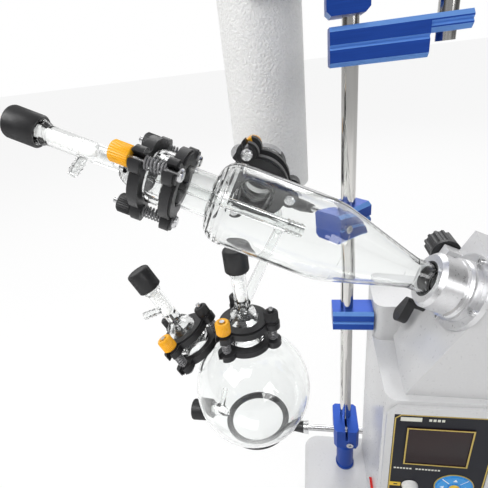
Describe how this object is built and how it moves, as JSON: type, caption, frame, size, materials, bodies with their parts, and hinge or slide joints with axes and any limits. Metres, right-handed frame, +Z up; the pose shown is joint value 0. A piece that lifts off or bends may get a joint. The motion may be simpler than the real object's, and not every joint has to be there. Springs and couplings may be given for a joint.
{
  "type": "rotary evaporator glass assembly",
  "caption": "Laboratory rotary evaporator: clamped glass vapour vessel, condenser and receiving flask on a rod stand with a motorised drive head.",
  "frame": {"origin": "underside of the foot that stands straight below the main rod", "axes": "+Z up along the main rod, +X towards the evaporating flask, +Y towards the condenser at the back"},
  "size_m": [0.6524, 0.3664, 0.806],
  "materials": {
    "white_paint": "satin",
    "rubber": "matte",
    "chrome_rod": "polished",
    "blue_anodised": "satin",
    "black_plastic": "matte",
    "steel": "brushed",
    "clear_glass": "polished",
    "white_foam": "orange peel",
    "white_ptfe": "matte",
    "orange_plastic": "gloss",
    "bare_aluminium": "satin",
    "white_nylon": "matte",
    "green_plastic": "matte",
    "navy_film": "gloss",
    "dark_screen": "gloss",
    "blue_key": "satin",
    "white_knob": "gloss",
    "red_plastic": "gloss"
  },
  "bodies": {
    "stand": {"base": "white_paint", "base_feet": "rubber", "main_rod": "chrome_rod", "rod_foot": "blue_anodised", "mid_clamp": "blue_anodised", "angle_clamp": "blue_anodised", "top_arm": "blue_anodised", "upper_rod": "chrome_rod", "upper_block": "blue_anodised", "neck_holder": "black_plastic", "lock_screws": "steel", "vapour_vessel": "clear_glass", "inlet_adapter": "clear_glass", "outlet_adapter": "clear_glass", "vacuum_adapter": "clear_glass", "receiving_flask": "clear_glass", "condenser_glass": "clear_glass", "condenser_jacket": "white_foam", "condenser_cap": "black_plastic", "cold_finger": "steel", "inlet_plates": "black_plastic", "neck_plates": "black_plastic", "vacuum_plates": "black_plastic", "side_plates": "black_plastic", "clamp_bolts": "steel", "clamp_springs": "steel", "clamp_nuts": "black_plastic", "housing": "white_paint", "collar": "bare_aluminium", "drive_flange": "bare_aluminium", "drive_screws": "steel", "spindle_bearings": "steel", "motor": "black_plastic", "control_panel": "navy_film", "display": "dark_screen", "keypad": "blue_key"},
    "rotor": {"spindle": "steel", "drive_gear": "white_nylon", "vapour_duct": "clear_glass", "flask_clip": "green_plastic", "evaporating_flask": "clear_glass"},
    "pinion": {"motor_gear": "white_nylon"},
    "ring_carrier": {"lower_clamp": "blue_anodised", "support_ring": "black_plastic"},
    "lock_lever": {"lock_lever": "black_plastic"},
    "rear_knob": {"rear_knob": "black_plastic"},
    "speed_knob": {"speed_knob": "white_knob"},
    "power_rocker": {"power_switch": "red_plastic"},
    "inlet_plunger": {"inlet_stem": "white_ptfe"},
    "inlet_screw_cap": {"inlet_cap": "black_plastic"},
    "outlet_plunger": {"outlet_stem": "white_ptfe"},
    "outlet_screw_cap": {"outlet_cap": "black_plastic"},
    "vacuum_plunger": {"vacuum_stem": "white_ptfe"},
    "vacuum_screw_cap": {"vacuum_cap": "black_plastic"},
    "drain_plunger": {"drain_stem": "white_ptfe"},
    "drain_screw_cap": {"drain_cap": "black_plastic"},
    "inlet_release_nut": {"inlet_nut": "orange_plastic"},
    "neck_release_nut": {"neck_nut": "orange_plastic"},
    "vacuum_release_nut": {"vacuum_nut": "orange_plastic"},
    "side_release_nut": {"side_nut": "orange_plastic"}
  },
  "joints": [
    {"name": "spindle_spin", "type": "hinge", "parent": "stand", "child": "rotor", "pos_m": [0.0514, -0.056, 0.3744], "axis": [0.9033, 0, -0.4289], "continuous": true},
    {"name": "motor_spin", "type": "hinge", "parent": "stand", "child": "pinion", "pos_m": [0.12912, -0.056, 0.30262], "axis": [0.9033, 0, -0.4289], "continuous": true},
    {"name": "inlet_valve_lift", "type": "slide", "parent": "stand", "child": "inlet_plunger", "axis": [-0.9033, 0, 0.4289], "range_m": [0, 0.01]},
    {"name": "inlet_valve_turn", "type": "hinge", "parent": "inlet_plunger", "child": "inlet_screw_cap", "pos_m": [-0.13695, -0.056, 0.46383], "axis": [-0.9033, 0, 0.4289], "range_deg": [0, 1126]},
    {"name": "outlet_valve_lift", "type": "slide", "parent": "stand", "child": "outlet_plunger", "axis": [0, 0, 1], "range_m": [0, 0.01]},
    {"name": "outlet_valve_turn", "type": "hinge", "parent": "outlet_plunger", "child": "outlet_screw_cap", "pos_m": [-0.1048, 0, 0.2755], "axis": [0, 0, 1], "range_deg": [0, 1126]},
    {"name": "vacuum_valve_lift", "type": "slide", "parent": "stand", "child": "vacuum_plunger", "axis": [-0.4226, 0, 0.9063], "range_m": [0, 0.01]},
    {"name": "vacuum_valve_turn", "type": "hinge", "parent": "vacuum_plunger", "child": "vacuum_screw_cap", "pos_m": [-0.169, 0, 0.262], "axis": [-0.4226, 0, 0.9063], "range_deg": [0, 1126]},
    {"name": "drain_valve_lift", "type": "slide", "parent": "stand", "child": "drain_plunger", "axis": [-1, 0, 0], "range_m": [0, 0.01]},
    {"name": "drain_valve_turn", "type": "hinge", "parent": "drain_plunger", "child": "drain_screw_cap", "pos_m": [-0.1573, 0, 0.147], "axis": [-1, 0, 0], "range_deg": [0, 1126]},
    {"name": "inlet_nut_turn", "type": "hinge", "parent": "stand", "child": "inlet_release_nut", "pos_m": [-0.12969, -0.08017, 0.47912], "axis": [-0.9033, 0, 0.4289], "range_deg": [0, 720]},
    {"name": "neck_nut_turn", "type": "hinge", "parent": "stand", "child": "neck_release_nut", "pos_m": [-0.12172, -0.02416, 0.2755], "axis": [0, 0, 1], "range_deg": [0, 720]},
    {"name": "vacuum_nut_turn", "type": "hinge", "parent": "stand", "child": "vacuum_release_nut", "pos_m": [-0.17272, -0.02921, 0.26027], "axis": [-0.4226, 0, 0.9063], "range_deg": [0, 720]},
    {"name": "side_nut_turn", "type": "hinge", "parent": "stand", "child": "side_release_nut", "pos_m": [-0.08112, 0.008, 0.46505], "axis": [0, 1, 0], "range_deg": [0, 720]},
    {"name": "ring_slide", "type": "slide", "parent": "stand", "child": "ring_carrier", "axis": [0, 0, 1], "range_m": [-0.014, 0]},
    {"name": "lock_lever_turn", "type": "hinge", "parent": "stand", "child": "lock_lever", "pos_m": [0.06225, -0.026, 0.32497], "axis": [-0.9033, 0, 0.4289], "range_deg": [-20, 40]},
    {"name": "rear_knob_turn", "type": "hinge", "parent": "stand", "child": "rear_knob", "pos_m": [0.07922, -0.012, 0.37005], "axis": [0, 1, 0], "range_deg": [0, 360]},
    {"name": "speed_knob_turn", "type": "hinge", "parent": "stand", "child": "speed_knob", "pos_m": [0.049, -0.0878, 0.172], "axis": [0, -1, 0], "range_deg": [-300, 0]},
    {"name": "power_rocker_tip", "type": "hinge", "parent": "stand", "child": "power_rocker", "pos_m": [0.024, -0.0535, 0.104], "axis": [0, 1, 0], "range_deg": [0, 18]}
  ],
  "couplings": [
    {"joint": "motor_spin", "follows": "spindle_spin", "ratio": -3},
    {"joint": "inlet_valve_turn", "follows": "inlet_valve_lift", "rad_per_m": 1963.5},
    {"joint": "outlet_valve_turn", "follows": "outlet_valve_lift", "rad_per_m": 1963.5},
    {"joint": "vacuum_valve_turn", "follows": "vacuum_valve_lift", "rad_per_m": 1963.5},
    {"joint": "drain_valve_turn", "follows": "drain_valve_lift", "rad_per_m": 1963.5}
  ]
}
